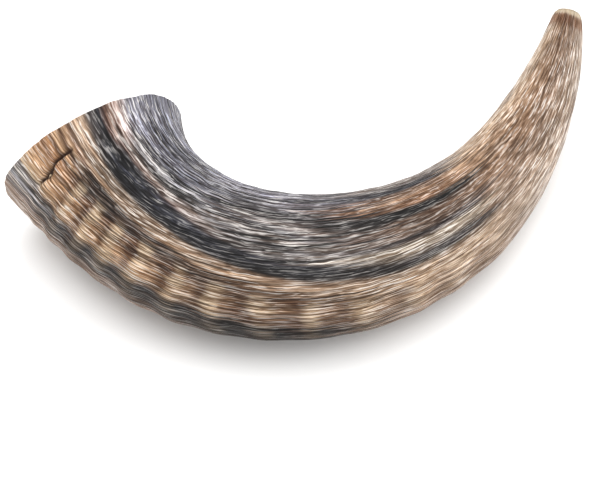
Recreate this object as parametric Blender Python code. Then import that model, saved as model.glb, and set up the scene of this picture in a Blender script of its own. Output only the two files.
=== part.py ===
"""Shofar: a ram's horn trumpet, lying on its side with the tip raised.

A horn grows as a stack of keratin cones. The oldest cone is the tip, and each newer cone
grows inside the last one and reaches further towards the bell. Each cone here is one solid:
its tapered spigot nests in the socket of the next older cone, as stacked paper cups do.
"""

from math import atan2, copysign, cos, radians, sin

import bmesh
import bpy
import numpy as np
from mathutils import Vector

# Driving dimensions, in metres. A station is a fraction of the length, from the bell to the tip.
LENGTH = 0.284
BELL_CENTRE = (-0.08409, 0.01031)
HEADINGS = ((0.00, -63.0), (0.25, -23.0), (0.50, 23.5), (0.75, 57.0), (1.00, 79.0))
HALF_WIDTHS = (
    (0.00, 0.0384),
    (0.10, 0.0332),
    (0.30, 0.0304),
    (0.55, 0.0251),
    (0.80, 0.0155),
    (1.00, 0.0054),
)
DEPTH_RATIOS = ((0.0, 0.74), (0.3, 0.75), (0.6, 0.82), (1.0, 1.00))
TIP_LIFT = 0.030
LIFT_STARTS = 0.58

# The bell is sawn upright, not square to the horn: the cut leans and slants by these slopes
# and trims the end, and the stations as far as the reach share that out.
SAW_LEAN = 0.2327
SAW_SLANT = 0.04
SAW_TRIM = 0.0044
SAW_REACH = 0.12

# The section is a rounded triangle: thick on the inner curve, narrow along the outer keel.
SQUARENESS = 2.3
KEEL = 0.22
UNDERSIDE = 1.035

# The hollow follows the bony core that filled the horn, and then the drilled bore.
BELL_WALL = 0.0040
CORE_END = 0.72
CORE_POWER = 3.4
BORE_RADIUS = 0.0023
CUP_DEPTH = 0.0050
CUP_WAIST = 0.20
CUP_WAIST_DEPTH = 0.6
CUP_MOUTH = 0.50
RIM_FLAT = 0.80
RIM_ROUND = 0.0009

# Joints between the cones, as fractions of the wall from the hollow to the outer surface.
SPIGOT_ROOT = 0.56
SPIGOT_END = 0.40
SPIGOT_LENGTH = 0.056
CLEARANCE = 0.00018
END_GAP = 0.0004 / LENGTH

# Resolution of the lofted surfaces.
SEGMENTS = 32
RING_SPACING = 0.034
SPINE_STEPS = 2000

# Each cone: name, the stations where its bare outer surface starts and ends, colour, roughness.
CONES = (
    ("bell_rim", 0.00, 0.035, (0.36, 0.25, 0.16), 0.55),
    ("growth_cone_1", 0.035, 0.15, (0.24, 0.18, 0.13), 0.60),
    ("growth_cone_2", 0.15, 0.26, (0.20, 0.15, 0.11), 0.60),
    ("growth_cone_3", 0.26, 0.352, (0.21, 0.16, 0.12), 0.60),
    ("growth_cone_4", 0.352, 0.46, (0.24, 0.17, 0.12), 0.60),
    ("growth_cone_5", 0.46, 0.572, (0.28, 0.21, 0.14), 0.60),
    ("growth_cone_6", 0.572, 0.70, (0.32, 0.24, 0.16), 0.58),
    ("growth_cone_7", 0.70, 0.84, (0.40, 0.30, 0.21), 0.56),
    ("mouthpiece", 0.84, 1.00, (0.48, 0.36, 0.25), 0.50),
)


def curve_through(stations):
    """The smooth curve through a table of stations."""
    places, values = zip(*stations)
    return np.poly1d(np.polyfit(places, values, len(stations) - 1))


half_width = curve_through(HALF_WIDTHS)
depth_ratio = curve_through(DEPTH_RATIOS)
heading = curve_through(HEADINGS)


def half_depth(t):
    return half_width(t) * depth_ratio(t)


def spine_height(t):
    """The belly rests on the ground, and the last part of the horn lifts towards the tip."""
    lift = np.clip((t - LIFT_STARTS) / (1.0 - LIFT_STARTS), 0.0, 1.0)
    return half_depth(t) * UNDERSIDE + TIP_LIFT * lift**2


def build_spine():
    """Follow the heading from the bell to the tip, at an even pace along the slope."""
    t = np.linspace(0.0, 1.0, SPINE_STEPS + 1)
    z = spine_height(t)
    rise = np.gradient(z, t)
    run = np.sqrt(LENGTH**2 - rise**2)
    angle = np.radians(heading(t))
    dx = np.cos(angle) * run
    dy = np.sin(angle) * run
    step = 1.0 / SPINE_STEPS
    x = BELL_CENTRE[0] + np.concatenate(([0.0], np.cumsum((dx[1:] + dx[:-1]) * step / 2)))
    y = BELL_CENTRE[1] + np.concatenate(([0.0], np.cumsum((dy[1:] + dy[:-1]) * step / 2)))
    tangents = np.stack((dx, dy, rise), axis=1) / LENGTH
    return t, np.stack((x, y, z), axis=1), tangents


SPINE = build_spine()


def on_spine(t, rows):
    return Vector([float(np.interp(t, SPINE[0], column)) for column in rows.T])


def section_frame(t):
    """Centre of the section, and its directions: outwards, upwards and along the horn."""
    centre = on_spine(t, SPINE[1])
    tangent = on_spine(t, SPINE[2]).normalized()
    outward = tangent.cross(Vector((0.0, 0.0, 1.0))).normalized()
    return centre, outward, outward.cross(tangent), tangent


def sawn(t, tangent, offset):
    """The saw cut moves a point along the horn: level on the ground, steeper higher up."""
    cut = SAW_TRIM - SAW_LEAN * offset.y - SAW_SLANT * offset.x
    steepness = 1.0 + offset.y / half_depth(t)
    slope = Vector((tangent.x, tangent.y, tangent.z * steepness))
    return slope * cut * max(0.0, 1.0 - t / SAW_REACH)


def rounded(value):
    return copysign(abs(value) ** (2.0 / SQUARENESS), value)


def section_offset(t, angle, fraction, clearance):
    """Offset from the centre: fraction 0 is the hollow's surface and 1 is the outer surface."""
    across = rounded(cos(angle))
    up = rounded(sin(angle)) * (1.0 - KEEL * across)
    outer = Vector((half_width(t) * across, half_depth(t) * up))
    core = max(0.0, 1.0 - (t / CORE_END) ** CORE_POWER)
    hollow = BORE_RADIUS + (outer.length - BELL_WALL - BORE_RADIUS) * core
    radius = hollow + (outer.length - hollow) * fraction + clearance
    return outer.normalized() * radius


def add_ring(bm, t, fraction, clearance):
    """One closed ring of the loft, made from a circle of unit radius."""
    centre, outward, upward, tangent = section_frame(t)
    verts = bmesh.ops.create_circle(bm, segments=SEGMENTS, radius=1.0)["verts"]
    for vert in verts:
        offset = section_offset(t, atan2(vert.co.y, vert.co.x), fraction, clearance)
        vert.co = centre + outward * offset.x + upward * offset.y + sawn(t, tangent, offset)
    return verts


def loft(bm, ring, following):
    """A strip of faces that joins each vertex of a ring to its match on the next ring."""
    for i, corner in enumerate(ring):
        bm.faces.new((ring[i - 1], corner, following[i], following[i - 1]))


def even_stations(start, end):
    count = max(2, round(abs(end - start) / RING_SPACING) + 1)
    return np.linspace(start, end, count)


def socket_profile(start):
    """The tapered socket at a cone's bell end, from its bottom out to the edge."""
    bottom = start + SPIGOT_LENGTH
    middle = (start + bottom) / 2
    half_way = (SPIGOT_ROOT + SPIGOT_END) / 2
    return [
        (bottom, SPIGOT_END, CLEARANCE),
        (middle, half_way, CLEARANCE),
        (start, SPIGOT_ROOT, CLEARANCE),
    ]


def spigot_profile(end):
    """The shoulder and the tapered spigot at a cone's tip end."""
    tip = end + SPIGOT_LENGTH
    middle = (end + tip) / 2
    half_way = (SPIGOT_ROOT + SPIGOT_END) / 2
    return [
        (end - END_GAP, SPIGOT_ROOT, -CLEARANCE),
        (middle, half_way, -CLEARANCE),
        (tip - END_GAP, SPIGOT_END, -CLEARANCE),
    ]


def mouthpiece_profile():
    """The rounded rim and the cup, from the outer surface in to the bore."""
    cup = CUP_DEPTH / LENGTH
    return [
        (1.0, RIM_FLAT, 0.0),
        (1.0, CUP_MOUTH, 0.0),
        (1.0 - cup * CUP_WAIST_DEPTH, CUP_WAIST, 0.0),
        (1.0 - cup, 0.0, 0.0),
    ]


def cone_profile(start, end):
    """Closed profile of one cone: outer surface, tip end, hollow and bell end."""
    is_bell = start == 0.0
    is_tip = end == 1.0
    outer_end = end - (RIM_ROUND / LENGTH if is_tip else END_GAP)
    profile = [(t, 1.0, 0.0) for t in even_stations(start, outer_end)]
    if is_tip:
        profile += mouthpiece_profile()
        hollow_end = 1.0 - CUP_DEPTH / LENGTH
    else:
        profile += spigot_profile(end)
        hollow_end = end + SPIGOT_LENGTH - END_GAP
        profile.append((hollow_end, 0.0, 0.0))
    hollow_start = 0.0 if is_bell else start + SPIGOT_LENGTH
    profile += [(t, 0.0, 0.0) for t in even_stations(hollow_end, hollow_start)[1:]]
    if not is_bell:
        profile += socket_profile(start)
    return profile


def horn_material(name, colour, roughness):
    material = bpy.data.materials.new(name)
    material.use_nodes = True
    shader = material.node_tree.nodes["Principled BSDF"]
    shader.inputs["Base Color"].default_value = (*colour, 1.0)
    shader.inputs["Roughness"].default_value = roughness
    shader.inputs["Metallic"].default_value = 0.0
    return material


def build_cone(collection, name, start, end, colour, roughness):
    """Loft one cone through the rings of its closed profile."""
    bm = bmesh.new()
    rings = [add_ring(bm, *station) for station in cone_profile(start, end)]
    for ring, following in zip(rings, rings[1:] + rings[:1]):
        loft(bm, ring, following)
    bmesh.ops.triangulate(bm, faces=bm.faces, quad_method="SHORT_EDGE")
    bmesh.ops.recalc_face_normals(bm, faces=bm.faces)
    if bm.calc_volume(signed=True) < 0.0:
        bmesh.ops.reverse_faces(bm, faces=bm.faces)
    mesh = bpy.data.meshes.new(name)
    bm.to_mesh(mesh)
    bm.free()
    mesh.shade_smooth()
    mesh.set_sharp_from_angle(angle=radians(35))
    mesh.materials.append(horn_material(name, colour, roughness))
    cone = bpy.data.objects.new(name, mesh)
    collection.objects.link(cone)
    return cone


def clear_scene():
    for item in list(bpy.data.objects):
        bpy.data.objects.remove(item, do_unlink=True)


def build_shofar():
    clear_scene()
    collection = bpy.data.collections.new("shofar")
    bpy.context.scene.collection.children.link(collection)
    for cone in CONES:
        build_cone(collection, *cone)


build_shofar()
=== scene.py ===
from math import cos, pi, radians, sin

import bmesh
import bpy
import numpy as np
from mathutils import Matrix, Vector, noise


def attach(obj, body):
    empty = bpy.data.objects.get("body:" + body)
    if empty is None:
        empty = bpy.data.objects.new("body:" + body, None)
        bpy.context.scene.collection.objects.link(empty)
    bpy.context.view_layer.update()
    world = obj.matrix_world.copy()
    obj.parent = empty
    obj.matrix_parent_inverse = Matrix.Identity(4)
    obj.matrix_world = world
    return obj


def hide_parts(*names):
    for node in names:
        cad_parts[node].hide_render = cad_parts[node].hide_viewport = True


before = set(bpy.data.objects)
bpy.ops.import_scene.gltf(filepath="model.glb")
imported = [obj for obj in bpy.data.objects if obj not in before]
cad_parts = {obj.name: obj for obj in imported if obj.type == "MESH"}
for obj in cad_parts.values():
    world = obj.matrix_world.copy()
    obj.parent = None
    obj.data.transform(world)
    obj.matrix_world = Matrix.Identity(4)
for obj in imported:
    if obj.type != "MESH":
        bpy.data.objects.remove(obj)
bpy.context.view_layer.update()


# ---------------------------------------------------------------------------------------
# The studio: a white sweep to lie on, lit by a wide softbox above, a small one at the right
# and the white tent all round. The camera looks down from in front, through a long lens.

scene = bpy.context.scene
scene.view_settings.view_transform = "Standard"
scene.view_settings.look = "None"

LENS = 150.0
SENSOR = 36.0
CAMERA_ELEVATION = radians(57.0)
CAMERA_DISTANCE = 0.9735
CAMERA_AIM = Vector((-0.0014, -0.0291, 0.0209))

camera_data = bpy.data.cameras.new("camera")
camera_data.lens = LENS
camera_data.sensor_width = SENSOR
camera = bpy.data.objects.new("camera", camera_data)
towards_camera = Vector((0.0, -cos(CAMERA_ELEVATION), sin(CAMERA_ELEVATION)))
camera.location = CAMERA_AIM + towards_camera * CAMERA_DISTANCE
camera.rotation_euler = (pi / 2 - CAMERA_ELEVATION, 0.0, 0.0)
scene.collection.objects.link(camera)
scene.camera = camera

TENT_STRENGTH = 0.78
world = bpy.data.worlds.new("white_tent")
world.use_nodes = True
tent = world.node_tree.nodes["Background"]
tent.inputs["Color"].default_value = (1.0, 1.0, 1.0, 1.0)
tent.inputs["Strength"].default_value = TENT_STRENGTH
scene.world = world

LIGHTS = (
    # name, place, size, power, colour
    ("top_softbox", (0.00, 0.20, 1.00), 1.70, 15.8, (1.0, 0.995, 0.985)),
    ("right_softbox", (0.80, -0.10, 0.50), 0.50, 1.9, (1.0, 0.99, 0.97)),
)
for name, place, size, power, colour in LIGHTS:
    light = bpy.data.lights.new(name, "AREA")
    light.shape = "DISK"
    light.size = size
    light.energy = power
    light.color = colour
    lamp = bpy.data.objects.new(name, light)
    lamp.location = place
    lamp.rotation_euler = (-Vector(place)).to_track_quat("-Z", "Y").to_euler()
    scene.collection.objects.link(lamp)

FLOOR_SIZE = 6.0
bm = bmesh.new()
bmesh.ops.create_grid(bm, x_segments=1, y_segments=1, size=FLOOR_SIZE / 2)
floor_mesh = bpy.data.meshes.new("white_sweep")
bm.to_mesh(floor_mesh)
bm.free()
floor = bpy.data.objects.new("white_sweep", floor_mesh)
scene.collection.objects.link(floor)
paper = bpy.data.materials.new("white_paper")
paper.use_nodes = True
matt = paper.node_tree.nodes["Principled BSDF"]
matt.inputs["Base Color"].default_value = (0.92, 0.92, 0.92, 1.0)
matt.inputs["Roughness"].default_value = 0.9
floor_mesh.materials.append(paper)


# ---------------------------------------------------------------------------------------
# The growth cones: the body of the horn. Each is a sleeve of keratin that a year's growth
# laid down inside the last, so its tapered spigot nests in the socket of the older cone.

# Lengths are in metres. A station runs along the spine, from 0 at the bell to 1 at the tip.
LENGTH = 0.284
BELL_CENTRE = (-0.08409, 0.01031)
HEADINGS = ((0.00, -63.0), (0.25, -23.0), (0.50, 23.5), (0.75, 57.0), (1.00, 79.0))
HALF_WIDTHS = (
    (0.00, 0.0384),
    (0.10, 0.0332),
    (0.30, 0.0304),
    (0.55, 0.0251),
    (0.80, 0.0155),
    (1.00, 0.0054),
)
DEPTH_RATIOS = ((0.0, 0.74), (0.3, 0.75), (0.6, 0.82), (1.0, 1.00))
TIP_LIFT = 0.030
LIFT_STARTS = 0.58
SAW_LEAN = 0.2327
SAW_SLANT = 0.04
SAW_TRIM = 0.0044
SAW_REACH = 0.12
SAW_WAVER = 0.0008
SQUARENESS = 2.3
KEEL = 0.22
UNDERSIDE = 1.035
BELL_WALL = 0.0040
CORE_END = 0.72
CORE_POWER = 3.4
BORE_RADIUS = 0.0023
SPIGOT_ROOT = 0.56
SPIGOT_END = 0.40
SPIGOT_LENGTH = 0.056
CLEARANCE = 0.00018
LAP = 0.002
SOCKET_MOUTH = 1.2 * LAP
LAP_STEP = 0.00004
SPINE_STEPS = 2000
GRAIN_RADIUS = 0.026
FIRST_RING = 0.0305
RING_GROWTH = 0.003
RINGS_START = 0.05
RING_WANDER = 0.22
RING_HEIGHT = 0.0009
RING_MIDDLE = 0.6
DARK_SIDE = 0.30
KEEL_ANGLE = radians(-5)
KEEL_SPREAD = radians(62)
ROUGHNESS = (
    # height, length along the grain, width across it, place in the noise
    (0.00030, 0.016, 0.0022, 11.0),
    (0.00014, 0.006, 0.0011, 17.0),
    (0.00045, 0.030, 0.016, 23.0),
)
CRACK_STATION = 0.038
CRACK_SPAN = (radians(35), radians(77))
CRACK_TAPER = 0.12
CRACK_SWAY = 0.006
CRACK_WAVES = 3.1
CRACK_JAG = 0.005
CRACK_WIDTH = 0.0045
CRACK_GAPE = 0.0130
CRACK_HAIRLINE = 0.0008
CRACK_DEPTH = 0.0018
ROW_SPACING = 0.0004
HOLLOW_SPACING = 0.0030
SHARP_EDGE = radians(60)


def curve_through(stations):
    """The polynomial that passes through every station."""
    places, values = zip(*stations)
    return np.poly1d(np.polyfit(places, values, len(stations) - 1))


half_width = curve_through(HALF_WIDTHS)
depth_ratio = curve_through(DEPTH_RATIOS)
heading = curve_through(HEADINGS)

spine_t = np.linspace(0.0, 1.0, SPINE_STEPS + 1)
spine_lift = np.clip((spine_t - LIFT_STARTS) / (1.0 - LIFT_STARTS), 0.0, 1.0)
spine_z = half_width(spine_t) * depth_ratio(spine_t) * UNDERSIDE + TIP_LIFT * spine_lift**2
spine_rise = np.gradient(spine_z, spine_t)
spine_run = np.sqrt(LENGTH**2 - spine_rise**2)
spine_dx = np.cos(np.radians(heading(spine_t))) * spine_run
spine_dy = np.sin(np.radians(heading(spine_t))) * spine_run
half_step = 0.5 / SPINE_STEPS
steps_x = (spine_dx[1:] + spine_dx[:-1]) * half_step
steps_y = (spine_dy[1:] + spine_dy[:-1]) * half_step
spine_x = BELL_CENTRE[0] + np.concatenate(([0.0], np.cumsum(steps_x)))
spine_y = BELL_CENTRE[1] + np.concatenate(([0.0], np.cumsum(steps_y)))
spine_points = np.stack((spine_x, spine_y, spine_z), axis=1)
spine_tangents = np.stack((spine_dx, spine_dy, spine_rise), axis=1) / LENGTH


def along_spine(t, rows):
    """Rows of a table along the spine, read off at stations t."""
    return np.stack([np.interp(t, spine_t, column) for column in rows.T], axis=1)


def rounded(value):
    """A cosine or sine bent from a circle's to a slightly squared oval's."""
    return np.sign(value) * np.abs(value) ** (2.0 / SQUARENESS)


def noise_field(grain, length, width, shift=0.0):
    """Noise that is stretched along the grain, one value for each point."""
    scaled = grain / np.array((length, width, width)) + shift
    return np.array([noise.noise(point) for point in scaled.tolist()])


def growth_rings(t, grain):
    """Ring crests at 1 and troughs at 0, wider apart towards the tip, and the flank of each ring
    that takes brown banding and painted shade.
    """
    wander = RING_WANDER * noise_field(grain, 0.03, 0.022, 5.0)
    along = np.clip(t - RINGS_START, -0.02, 1.0)
    count = (np.sqrt(FIRST_RING**2 + 2 * RING_GROWTH * along) - FIRST_RING) / RING_GROWTH
    return [0.5 + 0.5 * np.cos(2 * pi * (count + wander + shift)) for shift in (0.0, DARK_SIDE)]


def crack_depth(t, angle, grain):
    """The crack behind the bell: 1 at its floor, 0 away from it."""
    middle = CRACK_STATION + CRACK_SWAY * np.sin(angle * CRACK_WAVES)
    middle += CRACK_JAG * noise_field(grain, 0.01, 0.0035, 31.0)
    width = CRACK_WIDTH + CRACK_GAPE * np.maximum(0.0, noise_field(grain, 0.02, 0.0045, 37.0))
    across = np.clip(1.0 - np.abs(t - middle) / np.maximum(width, CRACK_HAIRLINE), 0.0, 1.0)
    first, last = CRACK_SPAN
    ends = np.clip((angle - first) / CRACK_TAPER, 0, 1) * np.clip((last - angle) / CRACK_TAPER, 0, 1)
    return across * ends


def relief(t, angle, grain, ring, crack):
    """Height of the surface above the plain form, in metres."""
    keel = np.exp(-((angle - KEEL_ANGLE) / KEEL_SPREAD) ** 2)
    # No two rings are equally high. They rise behind the rim and fade out over the tip.
    ring_fade = np.clip((t - 0.02) / 0.05, 0, 1) * np.clip((0.80 - t) / 0.40, 0, 1)
    uneven = 0.7 + 0.9 * noise_field(grain, 0.045, 0.03, 29.0)
    height = RING_HEIGHT * (ring - RING_MIDDLE) * uneven * (0.12 + 0.88 * keel) * ring_fade
    for bump, length, width, shift in ROUGHNESS:
        height += bump * noise_field(grain, length, width, shift)
    return height - CRACK_DEPTH * crack


def even_rows(start, end, spacing, fraction, rough):
    """Rows of one surface: station, wall fraction, clearance and share of the relief."""
    count = max(2, round(abs(end - start) * LENGTH / spacing) + 1)
    return [(t, fraction, 0.0, rough) for t in np.linspace(start, end, count)]


def spigot_rows(end):
    """The bare surface dips under the edge of the older cone, and the spigot tapers inside it."""
    half_way = (SPIGOT_ROOT + SPIGOT_END) / 2
    return [
        (end, 1.0, -LAP_STEP, 1.0),
        (end + LAP, 1.0, -2 * LAP_STEP, 1.0),
        (end + LAP, SPIGOT_ROOT, -CLEARANCE, 0.0),
        (end + SPIGOT_LENGTH / 2, half_way, -CLEARANCE, 0.0),
        (end + SPIGOT_LENGTH, SPIGOT_END, -CLEARANCE, 0.0),
    ]


def socket_rows(start):
    """The tapered socket that the newer cone's spigot fills."""
    half_way = (SPIGOT_ROOT + SPIGOT_END) / 2
    return [
        (start + SPIGOT_LENGTH, SPIGOT_END, CLEARANCE, 0.0),
        (start + SPIGOT_LENGTH / 2, half_way, CLEARANCE, 0.0),
        (start + SOCKET_MOUTH, SPIGOT_ROOT, CLEARANCE, 0.0),
        (start + SOCKET_MOUTH, 1.0, -LAP_STEP, 1.0),
        (start, 1.0, -LAP_STEP / 2, 1.0),
    ]


def cone_profile(start, end):
    """Closed profile of a cone: bare surface, spigot, hollow and socket."""
    rows = even_rows(start, end - LAP / 2, ROW_SPACING, 1.0, 1.0)
    rows += spigot_rows(end)
    rows += even_rows(end + SPIGOT_LENGTH, start + SPIGOT_LENGTH, HOLLOW_SPACING, 0.0, 0.0)
    rows += socket_rows(start)
    return rows + rows[:1]


def horn_points(t, angle, fraction, clearance, rough):
    """Places on the horn, and the marks that its material reads there."""
    centre = along_spine(t, spine_points)
    tangent = along_spine(t, spine_tangents)
    tangent /= np.linalg.norm(tangent, axis=1)[:, None]
    outward = np.cross(tangent, (0.0, 0.0, 1.0))
    outward /= np.linalg.norm(outward, axis=1)[:, None]
    upward = np.cross(outward, tangent)
    circle = np.stack((t * LENGTH, np.cos(angle), np.sin(angle)), axis=1)
    grain = circle * (1.0, GRAIN_RADIUS, GRAIN_RADIUS)
    skin = circle.copy()
    skin[:, 1:] *= half_width(t)[:, None]
    across = rounded(np.cos(angle))
    up = rounded(np.sin(angle)) * (1.0 - KEEL * across)
    offset = np.stack((half_width(t) * across, half_width(t) * depth_ratio(t) * up), axis=1)
    outer = np.linalg.norm(offset, axis=1)
    core = np.maximum(0.0, 1.0 - (t / CORE_END) ** CORE_POWER)
    hollow = BORE_RADIUS + (outer - BELL_WALL - BORE_RADIUS) * core
    radius = hollow + (outer - hollow) * fraction + clearance
    ring, flank_brown_and_shade, crack = np.zeros((3, len(t)))
    bare = rough > 0.0
    ring[bare], flank_brown_and_shade[bare] = growth_rings(t[bare], grain[bare])
    crack[bare] = crack_depth(t[bare], angle[bare], grain[bare])
    radius[bare] += rough[bare] * relief(t[bare], angle[bare], grain[bare], ring[bare], crack[bare])
    steepness = 1.0 + up
    offset *= (radius / outer)[:, None]
    places = centre + outward * offset[:, :1] + upward * offset[:, 1:]
    # The saw cut leans and wavers, and slides the underside level along the floor.
    waver = SAW_WAVER * noise_field(grain * (0.0, 1.0, 1.0), 1.0, 0.0080, 43.0)
    cut = SAW_TRIM + waver - SAW_LEAN * offset[:, 1] - SAW_SLANT * offset[:, 0]
    cut *= np.clip(1.0 - t / SAW_REACH, 0.0, 1.0)
    slope = tangent.copy()
    slope[:, 2] *= steepness
    places += slope * cut[:, None]
    places[:, 2] = np.maximum(places[:, 2], 0.0)
    marks = {"grain": grain, "skin": skin, "ring": ring, "flank_brown_and_shade": flank_brown_and_shade, "crack": crack}
    return places, {**marks, "wall": fraction}


def roll_cone(name, profile, segments):
    """Roll a grid into the closed shell that the profile sweeps round the horn."""
    profile = np.array(profile)
    bm = bmesh.new()
    bmesh.ops.create_grid(bm, x_segments=len(profile) - 1, y_segments=segments, size=0.5)
    flat = np.array([vert.co[:2] for vert in bm.verts]) + 0.5
    row = profile[np.rint(flat[:, 0] * (len(profile) - 1)).astype(int)]
    angle = (flat[:, 1] - 0.5) * 2 * pi
    places, marks = horn_points(row[:, 0], angle, row[:, 1], row[:, 2], row[:, 3])
    for vert, point in zip(bm.verts, places.tolist()):
        vert.co = point
    for mark, values in marks.items():
        kinds = bm.verts.layers.float_vector if values.ndim == 2 else bm.verts.layers.float
        layer = kinds.new(mark)
        for vert, value in zip(bm.verts, values.tolist()):
            vert[layer] = value
    bmesh.ops.remove_doubles(bm, verts=bm.verts, dist=1e-7)
    bmesh.ops.recalc_face_normals(bm, faces=bm.faces)
    if bm.calc_volume(signed=True) < 0.0:
        bmesh.ops.reverse_faces(bm, faces=bm.faces)
    mesh = bpy.data.meshes.new(name)
    bm.to_mesh(mesh)
    bm.free()
    mesh.shade_smooth()
    mesh.set_sharp_from_angle(angle=SHARP_EDGE)
    cone = bpy.data.objects.new(name, mesh)
    scene.collection.objects.link(cone)
    return cone


def linear(red, green, blue):
    """Scene colour from the red, green and blue of a paint chip, 0 to 255."""
    chip = np.array((red, green, blue)) / 255.0
    light = np.where(chip <= 0.04045, chip / 12.92, ((chip + 0.055) / 1.055) ** 2.4)
    return (*light.tolist(), 1.0)


def fill_curve(curve, points):
    """Give a float curve node its points, each a position and a value."""
    handles = curve.mapping.curves[0].points
    while len(handles) < len(points):
        handles.new(0.5, 0.5)
    for handle, point in zip(handles, points):
        handle.location = point
    curve.mapping.update()


def fill_ramp(ramp, stops):
    """Give a colour ramp its stops, each a position and a paint chip."""
    elements = ramp.color_ramp.elements
    while len(elements) < len(stops):
        elements.new(0.5)
    for element, (position, chip) in zip(elements, sorted(stops)):
        element.position = position
        element.color = linear(*chip)


# The stripes round the horn: turns of the section counted from half a turn before the
# blue-black main band, which lies at 0.5. The crown of the curve is near 0.25, the inside
# of the curve near 0.75.
BELL_STRIPES = (
    (0.00, (108, 94, 84)),
    (0.08, (122, 104, 88)),
    (0.16, (130, 108, 92)),
    (0.24, (128, 110, 98)),
    (0.275, (84, 70, 62)),
    (0.293, (44, 42, 42)),
    (0.307, (80, 74, 70)),
    (0.322, (34, 34, 38)),
    (0.338, (74, 64, 58)),
    (0.348, (150, 124, 100)),
    (0.375, (150, 118, 88)),
    (0.398, (132, 102, 75)),
    (0.416, (104, 78, 58)),
    (0.428, (50, 36, 28)),
    (0.455, (44, 34, 29)),
    (0.461, (130, 108, 88)),
    (0.480, (132, 112, 94)),
    (0.485, (28, 26, 28)),
    (0.500, (24, 25, 31)),
    (0.515, (30, 30, 37)),
    (0.520, (80, 64, 57)),
    (0.528, (118, 108, 103)),
    (0.533, (52, 45, 44)),
    (0.538, (92, 88, 88)),
    (0.546, (128, 126, 128)),
    (0.552, (68, 67, 73)),
    (0.585, (74, 74, 83)),
    (0.625, (84, 84, 92)),
    (0.680, (102, 102, 112)),
    (0.780, (92, 88, 92)),
    (1.00, (108, 94, 84)),
)
RIM_STRIPES = (
    (0.00, (140, 120, 104)),
    (0.20, (150, 130, 114)),
    (0.275, (138, 120, 108)),
    (0.295, (96, 90, 90)),
    (0.305, (160, 148, 138)),
    (0.318, (96, 96, 102)),
    (0.332, (150, 142, 136)),
    (0.345, (84, 80, 82)),
    (0.352, (162, 140, 114)),
    (0.375, (172, 139, 108)),
    (0.396, (162, 124, 91)),
    (0.405, (100, 67, 43)),
    (0.413, (170, 127, 90)),
    (0.421, (86, 58, 40)),
    (0.429, (198, 161, 125)),
    (0.437, (90, 62, 45)),
    (0.445, (166, 137, 110)),
    (0.454, (92, 68, 54)),
    (0.462, (166, 140, 117)),
    (0.479, (160, 138, 118)),
    (0.485, (70, 63, 61)),
    (0.500, (30, 31, 38)),
    (0.508, (84, 60, 50)),
    (0.514, (146, 120, 106)),
    (0.521, (88, 62, 52)),
    (0.527, (140, 124, 117)),
    (0.537, (146, 134, 132)),
    (0.546, (118, 117, 126)),
    (0.600, (94, 94, 104)),
    (0.700, (104, 104, 112)),
    (1.00, (140, 120, 104)),
)
BELLY_STRIPES = (
    (0.00, (88, 80, 74)),
    (0.10, (100, 86, 75)),
    (0.20, (84, 72, 63)),
    # The near-black stops from 0.255 to 0.325 are the dark band on the belly's outer curve, made
    # darker still as painted shade on its underside.
    (0.255, (34, 28, 25)),
    (0.290, (22, 19, 18)),
    (0.325, (32, 26, 23)),
    (0.350, (92, 72, 58)),
    (0.400, (112, 87, 66)),
    (0.418, (104, 80, 61)),
    (0.432, (78, 59, 45)),
    (0.448, (96, 75, 58)),
    (0.463, (134, 110, 88)),
    (0.477, (112, 92, 76)),
    (0.483, (30, 27, 27)),
    (0.500, (24, 24, 28)),
    (0.512, (34, 33, 38)),
    (0.520, (84, 79, 78)),
    (0.530, (98, 93, 91)),
    (0.540, (72, 69, 70)),
    (0.552, (106, 98, 93)),
    (0.566, (72, 70, 72)),
    (0.580, (94, 87, 84)),
    (0.594, (60, 56, 56)),
    (0.610, (52, 50, 52)),
    (0.630, (88, 85, 89)),
    (0.660, (96, 94, 102)),
    (0.690, (74, 73, 79)),
    (0.740, (86, 84, 90)),
    (0.840, (92, 86, 84)),
    (1.00, (88, 80, 74)),
)
SHOULDER_STRIPES = (
    (0.00, (128, 112, 98)),
    (0.12, (138, 118, 102)),
    (0.24, (140, 120, 104)),
    (0.33, (140, 118, 100)),
    (0.40, (158, 134, 112)),
    (0.450, (162, 138, 114)),
    (0.477, (134, 114, 96)),
    (0.486, (50, 44, 41)),
    (0.499, (40, 36, 37)),
    (0.509, (96, 86, 77)),
    (0.519, (146, 133, 118)),
    (0.533, (148, 135, 119)),
    (0.540, (64, 54, 50)),
    (0.548, (42, 38, 40)),
    (0.556, (100, 82, 70)),
    (0.570, (92, 72, 58)),
    (0.582, (76, 57, 44)),
    (0.590, (15, 13, 13)),
    (0.603, (14, 12, 12)),
    (0.611, (108, 79, 58)),
    (0.630, (128, 98, 74)),
    (0.650, (112, 88, 70)),
    (0.659, (30, 29, 34)),
    (0.674, (28, 27, 33)),
    (0.684, (82, 76, 74)),
    (0.700, (112, 102, 96)),
    (0.760, (128, 118, 110)),
    (1.00, (128, 112, 98)),
)
TIP_STRIPES = (
    (0.00, (162, 146, 132)),
    (0.20, (176, 162, 150)),
    (0.34, (178, 163, 151)),
    (0.42, (162, 144, 128)),
    (0.47, (136, 116, 99)),
    (0.53, (126, 104, 87)),
    (0.58, (114, 88, 67)),
    (0.63, (148, 120, 96)),
    (0.69, (174, 151, 128)),
    (0.78, (184, 170, 157)),
    (1.00, (162, 146, 132)),
)
# Painted highlight: the colour of the glints painted on the fibres.
PAINTED_GLINT = (236, 230, 224)
# Brown of the growth bands: partly the horn's own banding, partly painted shade on the rings'
# flanks.
GROWTH_BROWN_AND_SHADE = (72, 47, 29)
# Painted highlight on the crests of the growth rings.
CREST_HIGHLIGHT_CREAM = (178, 156, 128)
CREAM_CAP = (196, 180, 154)
CAP_BROWN = (176, 138, 108)
# Painted shade in the crack behind the bell.
CRACK_SHADE_BROWN = (48, 30, 20)
HOLLOW_TAN = (196, 174, 144)
# Painted shade deep in the hollow.
HOLLOW_DEEP_SHADE = (92, 72, 54)


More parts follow.
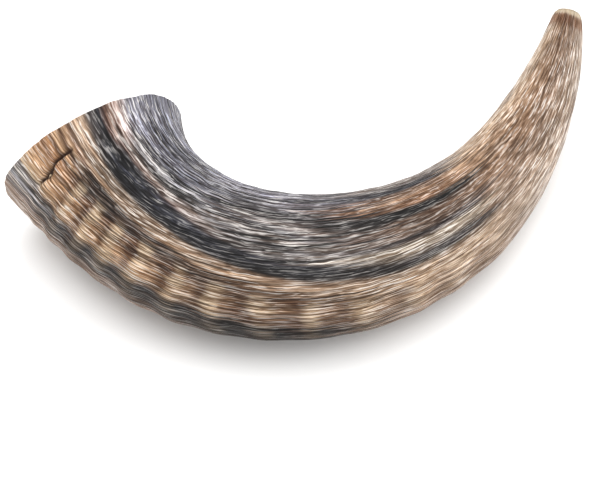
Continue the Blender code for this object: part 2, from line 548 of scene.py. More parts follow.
def horn_material(name):
    """Unpolished horn: stripes that run with the grain, growth rings, fibres and glints."""
    material = bpy.data.materials.new(name)
    material.use_nodes = True
    nodes = material.node_tree.nodes
    links = material.node_tree.links
    shader = nodes["Principled BSDF"]
    shader.label = "unpolished horn"
    nodes["Material Output"].label = "surface of the horn"

    # Where a point is on the horn.
    place = nodes.new("NodeFrame")
    place.label = "where a point is on the horn"

    marks = []
    for mark_name, label in (
        ("grain", "straightened horn, even radius"),
        ("skin", "straightened horn, true radius"),
        ("ring", "growth ring crest or trough"),
        ("flank_brown_and_shade", "dark side of each growth ring"),
        ("crack", "the crack behind the bell"),
        ("wall", "0 in the hollow, 1 outside"),
    ):
        mark = nodes.new("ShaderNodeAttribute")
        mark.label = label
        mark.attribute_name = mark_name
        marks.append(mark)
    grain, skin, ring, flank_brown_and_shade, crack, wall = marks

    split = nodes.new("ShaderNodeSeparateXYZ")
    split.label = "along, and two across"
    links.new(grain.outputs["Vector"], split.inputs["Vector"])

    station = nodes.new("ShaderNodeMath")
    station.label = "station, 0 bell to 1 tip"
    station.operation = "DIVIDE"
    station.inputs[1].default_value = LENGTH
    links.new(split.outputs["X"], station.inputs[0])

    turn = nodes.new("ShaderNodeMath")
    turn.label = "angle round the section"
    turn.operation = "ARCTAN2"
    links.new(split.outputs["Z"], turn.inputs[0])
    links.new(split.outputs["Y"], turn.inputs[1])

    turns = nodes.new("ShaderNodeMath")
    turns.label = "angle in turns"
    turns.operation = "DIVIDE"
    turns.inputs[1].default_value = 2 * pi
    links.new(turn.outputs[0], turns.inputs[0])

    band_path = nodes.new("ShaderNodeFloatCurve")
    band_path.label = "main band drifts round the horn"
    stops = ((0.0, 0.261), (0.1, 0.245), (0.2, 0.228), (0.3, 0.205), (0.4, 0.180))
    stops += ((0.5, 0.167), (0.6, 0.167), (0.7, 0.171), (1.0, 0.185))
    fill_curve(band_path, stops)
    links.new(station.outputs[0], band_path.inputs["Value"])

    from_band = nodes.new("ShaderNodeMath")
    from_band.label = "turns from the main band"
    from_band.operation = "SUBTRACT"
    links.new(turns.outputs[0], from_band.inputs[0])
    links.new(band_path.outputs["Value"], from_band.inputs[1])

    # The stripes wander and fray with the fibres.
    fray = nodes.new("NodeFrame")
    fray.label = "stripes wander and fray"

    slow_scale = nodes.new("ShaderNodeMapping")
    slow_scale.label = "waves of 40 by 15 mm"
    slow_scale.inputs["Scale"].default_value = (25.0, 66.0, 66.0)
    links.new(grain.outputs["Vector"], slow_scale.inputs["Vector"])

    slow = nodes.new("ShaderNodeTexNoise")
    slow.label = "slow wander"
    slow.inputs["Scale"].default_value = 1.0
    slow.inputs["Detail"].default_value = 1.0
    links.new(slow_scale.outputs["Vector"], slow.inputs["Vector"])

    slow_shift = nodes.new("ShaderNodeMapRange")
    slow_shift.label = "wander in turns"
    slow_shift.inputs["To Min"].default_value = -0.010
    slow_shift.inputs["To Max"].default_value = 0.010
    links.new(slow.outputs["Fac"], slow_shift.inputs["Value"])

    streak_scale = nodes.new("ShaderNodeMapping")
    streak_scale.label = "streaks of 40 by 0.8 mm"
    streak_scale.inputs["Location"].default_value = (3.0, 7.0, 1.0)
    streak_scale.inputs["Scale"].default_value = (25.0, 1350.0, 1350.0)
    links.new(grain.outputs["Vector"], streak_scale.inputs["Vector"])

    streak = nodes.new("ShaderNodeTexNoise")
    streak.label = "long streaks"
    streak.inputs["Scale"].default_value = 1.0
    streak.inputs["Detail"].default_value = 3.0
    streak.inputs["Roughness"].default_value = 0.6
    links.new(streak_scale.outputs["Vector"], streak.inputs["Vector"])

    streak_shift = nodes.new("ShaderNodeMapRange")
    streak_shift.label = "fray in turns"
    streak_shift.inputs["To Min"].default_value = -0.003
    streak_shift.inputs["To Max"].default_value = 0.003
    links.new(streak.outputs["Fac"], streak_shift.inputs["Value"])

    ring_centred = nodes.new("ShaderNodeMath")
    ring_centred.label = "crest out, trough back"
    ring_centred.operation = "SUBTRACT"
    ring_centred.inputs[1].default_value = 0.5
    links.new(ring.outputs["Fac"], ring_centred.inputs[0])

    crown = nodes.new("ShaderNodeMapRange")
    crown.label = "rings bend the crown stripes"
    crown.interpolation_type = "SMOOTHSTEP"
    crown.inputs["From Min"].default_value = -0.03
    crown.inputs["From Max"].default_value = -0.17
    crown.inputs["To Max"].default_value = 0.006
    links.new(from_band.outputs[0], crown.inputs["Value"])

    ring_shift = nodes.new("ShaderNodeMath")
    ring_shift.label = "stripes bend over the rings"
    ring_shift.operation = "MULTIPLY"
    links.new(ring_centred.outputs[0], ring_shift.inputs[0])
    links.new(crown.outputs["Result"], ring_shift.inputs[1])

    add_half = nodes.new("ShaderNodeMath")
    add_half.label = "main band at one half"
    add_half.inputs[1].default_value = 0.5
    links.new(from_band.outputs[0], add_half.inputs[0])

    add_slow = nodes.new("ShaderNodeMath")
    add_slow.label = "with the wander"
    links.new(add_half.outputs[0], add_slow.inputs[0])
    links.new(slow_shift.outputs["Result"], add_slow.inputs[1])

    add_streak = nodes.new("ShaderNodeMath")
    add_streak.label = "with the fray"
    links.new(add_slow.outputs[0], add_streak.inputs[0])
    links.new(streak_shift.outputs["Result"], add_streak.inputs[1])

    add_ring = nodes.new("ShaderNodeMath")
    add_ring.label = "with the rings"
    links.new(add_streak.outputs[0], add_ring.inputs[0])
    links.new(ring_shift.outputs[0], add_ring.inputs[1])

    stripe_place = nodes.new("ShaderNodeMath")
    stripe_place.label = "place among the stripes"
    stripe_place.operation = "FRACT"
    links.new(add_ring.outputs[0], stripe_place.inputs[0])

    # The colours of the stripes: the sawn rim's, then each next stretch's mixed over them.
    stripes = nodes.new("NodeFrame")
    stripes.label = "stripe colours along the horn"

    ragged = nodes.new("ShaderNodeMapRange")
    ragged.label = "ragged stripe ends"
    ragged.inputs["From Min"].default_value = 0.3
    ragged.inputs["From Max"].default_value = 0.7
    ragged.inputs["To Min"].default_value = -0.06
    ragged.inputs["To Max"].default_value = 0.06
    links.new(streak.outputs["Fac"], ragged.inputs["Value"])

    ragged_station = nodes.new("ShaderNodeMath")
    ragged_station.label = "station with ragged ends"
    links.new(station.outputs[0], ragged_station.inputs[0])
    links.new(ragged.outputs["Result"], ragged_station.inputs[1])

    rim = nodes.new("ShaderNodeValToRGB")
    rim.label = "stripes of the sawn rim"
    fill_ramp(rim, RIM_STRIPES)
    links.new(stripe_place.outputs[0], rim.inputs["Fac"])

    striped = rim.outputs["Color"]
    stretches = (
        # name, stripes, what its start and end are measured on, start and end of the change
        ("bell", BELL_STRIPES, station, 0.03, 0.09),
        ("belly", BELLY_STRIPES, ragged_station, 0.18, 0.34),
        ("shoulder", SHOULDER_STRIPES, ragged_station, 0.38, 0.54),
        ("tip", TIP_STRIPES, ragged_station, 0.62, 0.71),
    )
    for stretch, colours, measured, start, end in stretches:
        ramp = nodes.new("ShaderNodeValToRGB")
        ramp.label = "stripes of the " + stretch
        fill_ramp(ramp, colours)
        links.new(stripe_place.outputs[0], ramp.inputs["Fac"])

        change = nodes.new("ShaderNodeMapRange")
        change.label = "into the " + stretch
        change.interpolation_type = "SMOOTHSTEP"
        change.inputs["From Min"].default_value = start
        change.inputs["From Max"].default_value = end
        links.new(measured.outputs[0], change.inputs["Value"])

        mix = nodes.new("ShaderNodeMix")
        mix.label = "with the " + stretch
        mix.data_type = "RGBA"
        links.new(change.outputs["Result"], mix.inputs["Factor"])
        links.new(striped, mix.inputs["A"])
        links.new(ramp.outputs["Color"], mix.inputs["B"])
        striped = mix.outputs["Result"]

    # Brown growth bands lie across the crown, on the bell side of each ring: the horn's own banding,
    # and painted shade on that flank of each ring.
    growth = nodes.new("NodeFrame")
    growth.label = "growth bands across the crown"

    crown_band = nodes.new("ShaderNodeFloatCurve")
    crown_band.label = "on the crown only"
    stops = ((0.0, 0.1), (0.25, 0.1), (0.335, 0.25), (0.355, 0.9), (0.405, 1.0), (0.435, 0.3))
    stops += ((0.455, 0.0), (1.0, 0.0))
    fill_curve(crown_band, stops)
    links.new(stripe_place.outputs[0], crown_band.inputs["Value"])

    belly_band = nodes.new("ShaderNodeFloatCurve")
    belly_band.label = "fades to bell and tip"
    stops = ((0.0, 0.0), (0.06, 0.1), (0.1, 1.0), (0.38, 1.0), (0.48, 0.7), (0.6, 0.2), (1.0, 0.1))
    fill_curve(belly_band, stops)
    links.new(station.outputs[0], belly_band.inputs["Value"])

    growth_extent = nodes.new("ShaderNodeMath")
    growth_extent.label = "where the bands show"
    growth_extent.operation = "MULTIPLY"
    links.new(crown_band.outputs["Value"], growth_extent.inputs[0])
    links.new(belly_band.outputs["Value"], growth_extent.inputs[1])

    blot_scale = nodes.new("ShaderNodeMapping")
    blot_scale.label = "blots of 13 by 8 mm"
    blot_scale.inputs["Location"].default_value = (1.0, 4.0, 2.0)
    blot_scale.inputs["Scale"].default_value = (75.0, 125.0, 125.0)
    links.new(skin.outputs["Vector"], blot_scale.inputs["Vector"])

    blot = nodes.new("ShaderNodeTexNoise")
    blot.label = "bands break into blots"
    blot.inputs["Scale"].default_value = 1.0
    blot.inputs["Detail"].default_value = 3.0
    blot.inputs["Roughness"].default_value = 0.6
    links.new(blot_scale.outputs["Vector"], blot.inputs["Vector"])

    broken = nodes.new("ShaderNodeMath")
    broken.label = "dark side and blots together"
    broken.operation = "MULTIPLY_ADD"
    broken.inputs[1].default_value = 2.2
    links.new(blot.outputs["Fac"], broken.inputs[0])
    links.new(flank_brown_and_shade.outputs["Fac"], broken.inputs[2])

    dark_side = nodes.new("ShaderNodeMapRange")
    dark_side.label = "brown where both are high"
    dark_side.interpolation_type = "SMOOTHSTEP"
    dark_side.inputs["From Min"].default_value = 1.30
    dark_side.inputs["From Max"].default_value = 2.35
    dark_side.inputs["To Max"].default_value = 0.92
    links.new(broken.outputs[0], dark_side.inputs["Value"])

    growth_amount = nodes.new("ShaderNodeMath")
    growth_amount.label = "how brown"
    growth_amount.operation = "MULTIPLY"
    links.new(dark_side.outputs["Result"], growth_amount.inputs[0])
    links.new(growth_extent.outputs[0], growth_amount.inputs[1])

    banded = nodes.new("ShaderNodeMix")
    banded.label = "brown growth bands"
    banded.data_type = "RGBA"
    banded.inputs["B"].default_value = linear(*GROWTH_BROWN_AND_SHADE)
    links.new(growth_amount.outputs[0], banded.inputs["Factor"])
    links.new(striped, banded.inputs["A"])

    # Painted highlight: the crests of the growth rings on the crown are lightened towards cream,
    # away from the blots.
    crest_blots = nodes.new("ShaderNodeMath")
    crest_blots.label = "crests where there is no blot"
    crest_blots.operation = "MULTIPLY_ADD"
    crest_blots.inputs[1].default_value = -2.2
    crest_blots.inputs[2].default_value = 1.6
    links.new(blot.outputs["Fac"], crest_blots.inputs[0])

    crest_sum = nodes.new("ShaderNodeMath")
    crest_sum.label = "with the crests"
    links.new(crest_blots.outputs[0], crest_sum.inputs[0])
    links.new(ring.outputs["Fac"], crest_sum.inputs[1])

    lit_crest_side = nodes.new("ShaderNodeMapRange")
    lit_crest_side.label = "crests painted pale as highlight"
    lit_crest_side.interpolation_type = "SMOOTHSTEP"
    lit_crest_side.inputs["From Min"].default_value = 0.80
    lit_crest_side.inputs["From Max"].default_value = 1.70
    lit_crest_side.inputs["To Max"].default_value = 0.7
    links.new(crest_sum.outputs[0], lit_crest_side.inputs["Value"])

    painted_crest_light = nodes.new("ShaderNodeMath")
    painted_crest_light.label = "pale on the crown"
    painted_crest_light.operation = "MULTIPLY"
    links.new(lit_crest_side.outputs["Result"], painted_crest_light.inputs[0])
    links.new(growth_extent.outputs[0], painted_crest_light.inputs[1])

    crest_lit = nodes.new("ShaderNodeMix")
    crest_lit.label = "pale crests"
    crest_lit.data_type = "RGBA"
    crest_lit.inputs["B"].default_value = linear(*CREST_HIGHLIGHT_CREAM)
    links.new(painted_crest_light.outputs[0], crest_lit.inputs["Factor"])
    links.new(banded.outputs["Result"], crest_lit.inputs["A"])

    # Fibres: long dark and pale ones, whose tone is darkened in the gaps as painted shade and
    # lightened on the crests as painted highlight, and short pale dashes that are painted glints.
    fibres = nodes.new("NodeFrame")
    fibres.label = "fibres of the horn"

    bend_scale = nodes.new("ShaderNodeMapping")
    bend_scale.label = "bends of 8 by 4 mm"
    bend_scale.inputs["Scale"].default_value = (130.0, 240.0, 240.0)
    links.new(skin.outputs["Vector"], bend_scale.inputs["Vector"])

    bend = nodes.new("ShaderNodeTexNoise")
    bend.label = "fibres are wavy"
    bend.inputs["Scale"].default_value = 1.0
    bend.inputs["Detail"].default_value = 1.0
    links.new(bend_scale.outputs["Vector"], bend.inputs["Vector"])

    bent_grain = nodes.new("ShaderNodeVectorMath")
    bent_grain.label = "move up to 0.5 mm aside"
    bent_grain.operation = "MULTIPLY_ADD"
    bent_grain.inputs[1].default_value = (0.0010, 0.0010, 0.0010)
    links.new(bend.outputs["Color"], bent_grain.inputs[0])
    links.new(grain.outputs["Vector"], bent_grain.inputs[2])

    near_tip = nodes.new("ShaderNodeMapRange")
    near_tip.label = "body into tip"
    near_tip.interpolation_type = "SMOOTHSTEP"
    near_tip.inputs["From Min"].default_value = 0.58
    near_tip.inputs["From Max"].default_value = 0.78
    links.new(station.outputs[0], near_tip.inputs["Value"])

    threads = []
    thread_kinds = (
        # name, detail and roughness, then place and fineness on the body and round the thin tip
        ("long fibres", 3.0, 0.65, (2, 1, 5), (28, 2000, 2000), (4, 9, 2), (55, 900, 900)),
        ("short dashes", 2.0, 0.60, (8, 3, 6), (90, 2300, 2300), (5, 1, 7), (150, 1150, 1150)),
    )
    for kind, detail, roughness, body_place, body_fine, tip_place, tip_fine in thread_kinds:
        mix = nodes.new("ShaderNodeMix")
        mix.label = kind
        links.new(near_tip.outputs["Result"], mix.inputs["Factor"])
        threads.append(mix.outputs["Result"])

        for stretch, slot, start, fineness in (
            (" of the body", "A", body_place, body_fine),
            (" of the tip", "B", tip_place, tip_fine),
        ):
            scale = nodes.new("ShaderNodeMapping")
            scale.label = "size of the " + kind + stretch
            scale.inputs["Location"].default_value = start
            scale.inputs["Scale"].default_value = fineness
            links.new(bent_grain.outputs["Vector"], scale.inputs["Vector"])

            texture = nodes.new("ShaderNodeTexNoise")
            texture.label = kind + stretch
            texture.inputs["Scale"].default_value = 1.0
            texture.inputs["Detail"].default_value = detail
            texture.inputs["Roughness"].default_value = roughness
            links.new(scale.outputs["Vector"], texture.inputs["Vector"])
            links.new(texture.outputs["Fac"], mix.inputs[slot])
    long_fibres, dashes = threads

    lined_zones = nodes.new("ShaderNodeFloatCurve")
    lined_zones.label = "inside of the curve and keel"
    stops = ((0.0, 0.6), (0.2, 0.5), (0.28, 0.8), (0.33, 0.9), (0.35, 0.3), (0.42, 0.25))
    stops += ((0.49, 0.3), (0.53, 0.9), (0.56, 1.0), (1.0, 1.0))
    fill_curve(lined_zones, stops)
    links.new(stripe_place.outputs[0], lined_zones.inputs["Value"])

    short_of_tip = nodes.new("ShaderNodeMapRange")
    short_of_tip.label = "towards the bell"
    short_of_tip.interpolation_type = "SMOOTHSTEP"
    short_of_tip.inputs["From Min"].default_value = 0.54
    short_of_tip.inputs["From Max"].default_value = 0.36
    links.new(ragged_station.outputs[0], short_of_tip.inputs["Value"])

    coarse = nodes.new("ShaderNodeMath")
    coarse.label = "coarse fibres here"
    coarse.operation = "MULTIPLY"
    links.new(lined_zones.outputs["Value"], coarse.inputs[0])
    links.new(short_of_tip.outputs["Result"], coarse.inputs[1])

    worn = nodes.new("ShaderNodeFloatCurve")
    worn.label = "rubbed down at rim and tip"
    stops = ((0.0, 0.6), (0.02, 0.6), (0.05, 1.0), (0.6, 1.0), (0.75, 0.9), (1.0, 0.9))
    fill_curve(worn, stops)
    links.new(station.outputs[0], worn.inputs["Value"])

    line_low = nodes.new("ShaderNodeMapRange")
    line_low.label = "shade of the dark lines"
    line_low.inputs["To Min"].default_value = 0.74
    line_low.inputs["To Max"].default_value = 0.12
    links.new(coarse.outputs[0], line_low.inputs["Value"])

    line_high = nodes.new("ShaderNodeMapRange")
    line_high.label = "shade of the pale lines"
    line_high.inputs["To Min"].default_value = 1.25
    line_high.inputs["To Max"].default_value = 2.20
    links.new(coarse.outputs[0], line_high.inputs["Value"])

    line_shade = nodes.new("ShaderNodeMapRange")
    line_shade.label = "lines dark to pale"
    line_shade.inputs["From Min"].default_value = 0.40
    line_shade.inputs["From Max"].default_value = 0.61
    links.new(streak.outputs["Fac"], line_shade.inputs["Value"])
    links.new(line_low.outputs["Result"], line_shade.inputs["To Min"])
    links.new(line_high.outputs["Result"], line_shade.inputs["To Max"])

    patch_shade = nodes.new("ShaderNodeMapRange")
    patch_shade.label = "patches dark to pale"
    patch_shade.inputs["From Min"].default_value = 0.32
    patch_shade.inputs["From Max"].default_value = 0.68
    patch_shade.inputs["To Min"].default_value = 0.78
    patch_shade.inputs["To Max"].default_value = 1.24
    links.new(blot.outputs["Fac"], patch_shade.inputs["Value"])

    patched = nodes.new("ShaderNodeMix")
    patched.label = "stripes through patches"
    patched.data_type = "RGBA"
    patched.blend_type = "MULTIPLY"
    patched.inputs["Factor"].default_value = 1.0
    links.new(crest_lit.outputs["Result"], patched.inputs["A"])
    links.new(patch_shade.outputs["Result"], patched.inputs["B"])

    lined = nodes.new("ShaderNodeMix")
    lined.label = "stripes through long lines"
    lined.data_type = "RGBA"
    lined.blend_type = "MULTIPLY"
    links.new(patched.outputs["Result"], lined.inputs["A"])
    links.new(line_shade.outputs["Result"], lined.inputs["B"])
    links.new(worn.outputs["Value"], lined.inputs["Factor"])

    shaded = lined.outputs["Result"]
    fibre_tone_and_painted_light = (
        # name, threads, how high gap and crest are in the noise, colour of the gap with painted
        # shade and of the crest with painted highlight
        ("long fibres", long_fibres, 0.40, 0.62, (0.52, 0.48, 0.45, 1.0), (1.50, 1.54, 1.58, 1.0)),
        ("short dashes", dashes, 0.39, 0.62, (0.46, 0.39, 0.34, 1.0), (1.50, 1.55, 1.60, 1.0)),
    )
    # The fibres' own dark and pale tone, partly painted light: the gaps are darkened as painted
    # shade and the crests brightened as painted highlight, following the same noise as the bump.
    for kind, thread, gap, crest, gap_painted_shade, crest_painted_highlight in fibre_tone_and_painted_light:
        height = nodes.new("ShaderNodeMapRange")
        height.label = kind + ", gap to crest"
        height.inputs["From Min"].default_value = gap
        height.inputs["From Max"].default_value = crest
        links.new(thread, height.inputs["Value"])

        shade = nodes.new("ShaderNodeMix")
        shade.label = kind + ", brown gaps and bright crests"
        shade.data_type = "RGBA"
        shade.inputs["A"].default_value = gap_painted_shade
        shade.inputs["B"].default_value = crest_painted_highlight
        links.new(height.outputs["Result"], shade.inputs["Factor"])

        mix = nodes.new("ShaderNodeMix")
        mix.label = "stripes through " + kind
        mix.data_type = "RGBA"
        mix.blend_type = "MULTIPLY"
        links.new(shaded, mix.inputs["A"])
        links.new(shade.outputs["Result"], mix.inputs["B"])
        links.new(worn.outputs["Value"], mix.inputs["Factor"])
        shaded = mix.outputs["Result"]

    # Painted highlight: the pale dashes are glints painted into the colour, fainter on dark stripes
    # and gathered in clumps.
    glint_dash = nodes.new("ShaderNodeMapRange")
    glint_dash.label = "pale dashes"
    glint_dash.interpolation_type = "SMOOTHSTEP"
    glint_dash.inputs["From Min"].default_value = 0.52
    glint_dash.inputs["From Max"].default_value = 0.69
    links.new(dashes, glint_dash.inputs["Value"])

    stripe_light = nodes.new("ShaderNodeRGBToBW")
    stripe_light.label = "how light the stripe is"
    links.new(banded.outputs["Result"], stripe_light.inputs["Color"])

    glint_strength = nodes.new("ShaderNodeMapRange")
    glint_strength.label = "dashes fade in dark stripes"
    glint_strength.inputs["From Max"].default_value = 0.20
    glint_strength.inputs["To Min"].default_value = 0.22
    glint_strength.inputs["To Max"].default_value = 0.90
    links.new(stripe_light.outputs["Val"], glint_strength.inputs["Value"])

    clumps = nodes.new("ShaderNodeMapRange")
    clumps.label = "pale dashes come in clumps"
    clumps.inputs["From Min"].default_value = 0.35
    clumps.inputs["From Max"].default_value = 0.62
    clumps.inputs["To Min"].default_value = 0.30
    links.new(blot.outputs["Fac"], clumps.inputs["Value"])

    clumped = nodes.new("ShaderNodeMath")
    clumped.label = "strength in the clumps"
    clumped.operation = "MULTIPLY"
    links.new(glint_strength.outputs["Result"], clumped.inputs[0])
    links.new(clumps.outputs["Result"], clumped.inputs[1])

    glint_amount = nodes.new("ShaderNodeMath")
    glint_amount.label = "how pale"
    glint_amount.operation = "MULTIPLY"
    links.new(glint_dash.outputs["Result"], glint_amount.inputs[0])
    links.new(clumped.outputs[0], glint_amount.inputs[1])

    glinted = nodes.new("ShaderNodeMix")
    glinted.label = "pale dashes over"
    glinted.data_type = "RGBA"
    glinted.inputs["B"].default_value = linear(*PAINTED_GLINT)
    links.new(glint_amount.outputs[0], glinted.inputs["Factor"])
    links.new(shaded, glinted.inputs["A"])

    # The crack, darkened with painted shade, the brown band and the cream cap at the blowing end.
    ends = nodes.new("NodeFrame")
    ends.label = "crack, cap and hollow"

    # Painted shade: the floor of the crack is darkened towards brown-black, as shade falls in it.
    crack_shade_mask = nodes.new("ShaderNodeMapRange")
    crack_shade_mask.label = "dark up to the lips"
    crack_shade_mask.interpolation_type = "SMOOTHSTEP"
    crack_shade_mask.inputs["From Min"].default_value = 0.15
    crack_shade_mask.inputs["From Max"].default_value = 0.85
    links.new(crack.outputs["Fac"], crack_shade_mask.inputs["Value"])

    crack_painted = nodes.new("ShaderNodeMix")
    crack_painted.label = "dark in the crack"
    crack_painted.data_type = "RGBA"
    crack_painted.inputs["B"].default_value = linear(*CRACK_SHADE_BROWN)
    links.new(crack_shade_mask.outputs["Result"], crack_painted.inputs["Factor"])
    links.new(glinted.outputs["Result"], crack_painted.inputs["A"])

    cap_station = nodes.new("ShaderNodeMath")
    cap_station.label = "ragged edge of the cap"
    cap_station.operation = "MULTIPLY_ADD"
    cap_station.inputs[1].default_value = 0.016
    links.new(blot.outputs["Fac"], cap_station.inputs[0])
    links.new(station.outputs[0], cap_station.inputs[2])

    cap_brown = nodes.new("ShaderNodeFloatCurve")
    cap_brown.label = "brown band under the cap"
    stops = ((0.0, 0.0), (0.965, 0.0), (0.982, 0.75), (0.991, 0.80), (0.998, 0.1), (1.0, 0.0))
    fill_curve(cap_brown, stops)
    links.new(cap_station.outputs[0], cap_brown.inputs["Value"])

    browned = nodes.new("ShaderNodeMix")
    browned.label = "brown band"
    browned.data_type = "RGBA"
    browned.blend_type = "MULTIPLY"
    browned.inputs["B"].default_value = linear(*CAP_BROWN)
    links.new(cap_brown.outputs["Value"], browned.inputs["Factor"])
    links.new(crack_painted.outputs["Result"], browned.inputs["A"])

    cap_cream = nodes.new("ShaderNodeMapRange")
    cap_cream.label = "cream cap"
    cap_cream.interpolation_type = "SMOOTHSTEP"
    cap_cream.inputs["From Min"].default_value = 0.996
    cap_cream.inputs["From Max"].default_value = 1.002
    cap_cream.inputs["To Max"].default_value = 0.7
    links.new(cap_station.outputs[0], cap_cream.inputs["Value"])

    capped = nodes.new("ShaderNodeMix")
    capped.label = "cream rim"
    capped.data_type = "RGBA"
    capped.inputs["B"].default_value = linear(*CREAM_CAP)
    links.new(cap_cream.outputs["Result"], capped.inputs["Factor"])
    links.new(browned.outputs["Result"], capped.inputs["A"])

    # Painted shade: the hollow's colour darkens from the bell rim inwards, as shade falls deeper
    # inside.
    hollow_depth_shade = nodes.new("ShaderNodeMapRange")
    hollow_depth_shade.label = "the hollow darkens inwards"
    hollow_depth_shade.inputs["From Max"].default_value = 0.35
    links.new(station.outputs[0], hollow_depth_shade.inputs["Value"])

    hollow_colour = nodes.new("ShaderNodeMix")
    hollow_colour.label = "colour of the hollow"
    hollow_colour.data_type = "RGBA"
    hollow_colour.inputs["A"].default_value = linear(*HOLLOW_TAN)
    hollow_colour.inputs["B"].default_value = linear(*HOLLOW_DEEP_SHADE)
    links.new(hollow_depth_shade.outputs["Result"], hollow_colour.inputs["Factor"])

    hollow_shaded = nodes.new("ShaderNodeMix")
    hollow_shaded.label = "streaks in the hollow"
    hollow_shaded.data_type = "RGBA"
    hollow_shaded.blend_type = "MULTIPLY"
    hollow_shaded.inputs["Factor"].default_value = 1.0
    links.new(hollow_colour.outputs["Result"], hollow_shaded.inputs["A"])

    hollow_streak = nodes.new("ShaderNodeMapRange")
    hollow_streak.label = "long streaks, mild"
    hollow_streak.inputs["From Min"].default_value = 0.3
    hollow_streak.inputs["From Max"].default_value = 0.7
    hollow_streak.inputs["To Min"].default_value = 0.75
    hollow_streak.inputs["To Max"].default_value = 1.15
    links.new(streak.outputs["Fac"], hollow_streak.inputs["Value"])
    links.new(hollow_streak.outputs["Result"], hollow_shaded.inputs["B"])

    layer_depth = nodes.new("ShaderNodeMath")
    layer_depth.label = "a dozen layers in the wall"
    layer_depth.operation = "MULTIPLY"
    layer_depth.inputs[1].default_value = 12.0
    links.new(wall.outputs["Fac"], layer_depth.inputs[0])

    layer_place = nodes.new("ShaderNodeCombineXYZ")
    layer_place.label = "layers run round the wall"
    links.new(layer_depth.outputs[0], layer_place.inputs["X"])
    links.new(turn.outputs[0], layer_place.inputs["Y"])

    layers = nodes.new("ShaderNodeTexNoise")
    layers.label = "layers on the sawn face"
    layers.inputs["Scale"].default_value = 1.0
    layers.inputs["Detail"].default_value = 3.0
    links.new(layer_place.outputs["Vector"], layers.inputs["Vector"])

    layer_shade = nodes.new("ShaderNodeMapRange")
    layer_shade.label = "layers dark to pale"
    layer_shade.inputs["From Min"].default_value = 0.35
    layer_shade.inputs["From Max"].default_value = 0.62
    layer_shade.inputs["To Min"].default_value = 0.45
    layer_shade.inputs["To Max"].default_value = 1.10
    links.new(layers.outputs["Fac"], layer_shade.inputs["Value"])

    hollow_layered = nodes.new("ShaderNodeMix")
    hollow_layered.label = "layers over the streaks"
    hollow_layered.data_type = "RGBA"
    hollow_layered.blend_type = "MULTIPLY"
    hollow_layered.inputs["Factor"].default_value = 1.0
    links.new(hollow_shaded.outputs["Result"], hollow_layered.inputs["A"])
    links.new(layer_shade.outputs["Result"], hollow_layered.inputs["B"])

    outside = nodes.new("ShaderNodeMapRange")
    outside.label = "outside, not the hollow"
    outside.inputs["From Min"].default_value = 0.55
    outside.inputs["From Max"].default_value = 0.97
    links.new(wall.outputs["Fac"], outside.inputs["Value"])

    finished = nodes.new("ShaderNodeMix")
    finished.label = "hollow and outside"
    finished.data_type = "RGBA"
    links.new(outside.outputs["Result"], finished.inputs["Factor"])
    links.new(hollow_layered.outputs["Result"], finished.inputs["A"])
    links.new(capped.outputs["Result"], finished.inputs["B"])
    links.new(finished.outputs["Result"], shader.inputs["Base Color"])

    # Gloss and fine relief: the fibres catch the light, the gaps stay dull.
    gloss = nodes.new("NodeFrame")
    gloss.label = "gloss and fine relief"

    rough_fibre = nodes.new("ShaderNodeMapRange")
    rough_fibre.label = "pale dashes are glossier"
    rough_fibre.inputs["From Min"].default_value = 0.38
    rough_fibre.inputs["From Max"].default_value = 0.66
    rough_fibre.inputs["To Min"].default_value = 0.85
    rough_fibre.inputs["To Max"].default_value = 0.38
    links.new(dashes, rough_fibre.inputs["Value"])
    links.new(rough_fibre.outputs["Result"], shader.inputs["Roughness"])

    fibre_height = nodes.new("ShaderNodeMath")
    fibre_height.label = "long and short together"
    fibre_height.operation = "MULTIPLY_ADD"
    fibre_height.inputs[1].default_value = 0.7
    links.new(dashes, fibre_height.inputs[0])
    links.new(long_fibres, fibre_height.inputs[2])

    fibre_bump = nodes.new("ShaderNodeBump")
    fibre_bump.label = "fibres stand proud"
    fibre_bump.inputs["Strength"].default_value = 1.0
    fibre_bump.inputs["Distance"].default_value = 0.0005
    links.new(fibre_height.outputs[0], fibre_bump.inputs["Height"])
    links.new(fibre_bump.outputs["Normal"], shader.inputs["Normal"])
    shader.inputs["IOR"].default_value = 1.54
    shader.inputs["Specular IOR Level"].default_value = 0.25

    # Lay the nodes out: each stands in the frame made before it, in that frame's own row.
    part, row, column = None, 0, 0
    for node in list(nodes):
        if node.bl_idname == "NodeFrame":
            part, row, column = node, row + 1, 0
        elif part:
            node.parent = part
            node.location = (190.0 * column, -420.0 * row)
            column += 1
    shader.location = (4400.0, -1200.0)
    nodes["Material Output"].location = (4750.0, -1200.0)
    return material


horn = horn_material("horn")


def place_cone(node, profile, segments):
    """Build the visible piece that stands for a cone of the frame."""
    cone = roll_cone("horn_" + node, profile, segments)
    cone.data.materials.append(horn)
    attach(cone, "root")
    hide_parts(node)


GROWTH_CONES = (
    # node, stations where it starts and ends, slot, segments round it
    ("growth_cone_1", 0.035, 0.15, "bell_horn", 560),
    ("growth_cone_2", 0.15, 0.26, "striped_horn", 520),
    ("growth_cone_3", 0.26, 0.352, "striped_horn", 520),
    ("growth_cone_4", 0.352, 0.46, "striped_horn", 480),
    ("growth_cone_5", 0.46, 0.572, "striped_horn", 440),
    ("growth_cone_6", 0.572, 0.70, "striped_horn", 400),
    ("growth_cone_7", 0.70, 0.84, "tip_horn", 320),
)
for node, start, end, slot, segments in GROWTH_CONES:
    place_cone(node, cone_profile(start, end), segments)


# ---------------------------------------------------------------------------------------
# The bell rim: the newest cone, sawn straight across and rubbed down, with a slight flare.

RIM_END = 0.035
RIM_ROUNDING = 0.0011
ROUNDING_STEPS = 7
FACE_STEPS = 12
RIM_SEGMENTS = 560


def rounded_edge(radius, wall, outer):
    """A quarter round between an end face and a side: distance from the face, wall fraction."""
    turns = [step / ROUNDING_STEPS * pi / 2 for step in range(ROUNDING_STEPS + 1)]
    edge = [(radius * (1.0 - cos(turn)), radius * (1.0 - sin(turn)) / wall) for turn in turns]
    return [(depth / LENGTH, 1.0 - inset if outer else inset) for depth, inset in edge]


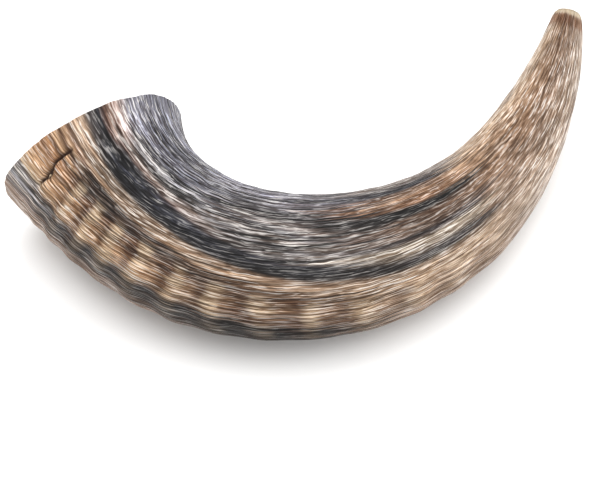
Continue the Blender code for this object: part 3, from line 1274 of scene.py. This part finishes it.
inner_edge = rounded_edge(RIM_ROUNDING, BELL_WALL, outer=False)[::-1]
outer_edge = rounded_edge(RIM_ROUNDING, BELL_WALL, outer=True)
across_face = np.linspace(inner_edge[-1][1], outer_edge[0][1], FACE_STEPS)
face = [(0.0, fraction) for fraction in across_face[1:-1]]
rim_rows = [(t, fraction, 0.0, fraction) for t, fraction in inner_edge + face + outer_edge]
rounded_off = RIM_ROUNDING / LENGTH
bell_rows = even_rows(rounded_off, RIM_END - LAP / 2, ROW_SPACING, 1.0, 1.0) + spigot_rows(RIM_END)
bell_rows += even_rows(RIM_END + SPIGOT_LENGTH, rounded_off, HOLLOW_SPACING, 0.0, 0.0) + rim_rows
place_cone("bell_rim", bell_rows + bell_rows[:1], RIM_SEGMENTS)


# ---------------------------------------------------------------------------------------
# The mouthpiece: the oldest cone and the solid tip of the horn. The end is sanded round,
# a small cup is carved in it, and the bore is drilled through to the hollow.

TIP_START = 0.84
LIP_INSET = 0.0015
LIP_DEPTH = 0.0028
LIP_STEPS = 8
CUP_DEPTH = 0.0050
CUP_MOUTH = 0.50
CUP_ROUNDNESS = 0.6
CUP_STEPS = 10
TIP_SEGMENTS = 240

tip_wall = half_width(1.0) - BORE_RADIUS
lip_start = 1.0 - LIP_DEPTH / LENGTH
mouthpiece_rows = even_rows(TIP_START, lip_start, ROW_SPACING, 1.0, 1.0)
for step in range(1, LIP_STEPS + 1):
    turn = step / LIP_STEPS * pi / 2
    station = lip_start + LIP_DEPTH / LENGTH * sin(turn)
    fraction = 1.0 - LIP_INSET / tip_wall * (1.0 - cos(turn))
    mouthpiece_rows.append((station, fraction, 0.0, fraction))
for step in range(CUP_STEPS + 1):
    sink = step / CUP_STEPS
    cup_wall = CUP_MOUTH * (1.0 - sink) ** CUP_ROUNDNESS
    mouthpiece_rows.append((1.0 - sink * CUP_DEPTH / LENGTH, cup_wall, 0.0, 0.0))
cup_end = 1.0 - CUP_DEPTH / LENGTH
mouthpiece_rows += even_rows(cup_end, TIP_START + SPIGOT_LENGTH, HOLLOW_SPACING, 0.0, 0.0)[1:]
mouthpiece_rows += socket_rows(TIP_START)
place_cone("mouthpiece", mouthpiece_rows + mouthpiece_rows[:1], TIP_SEGMENTS)
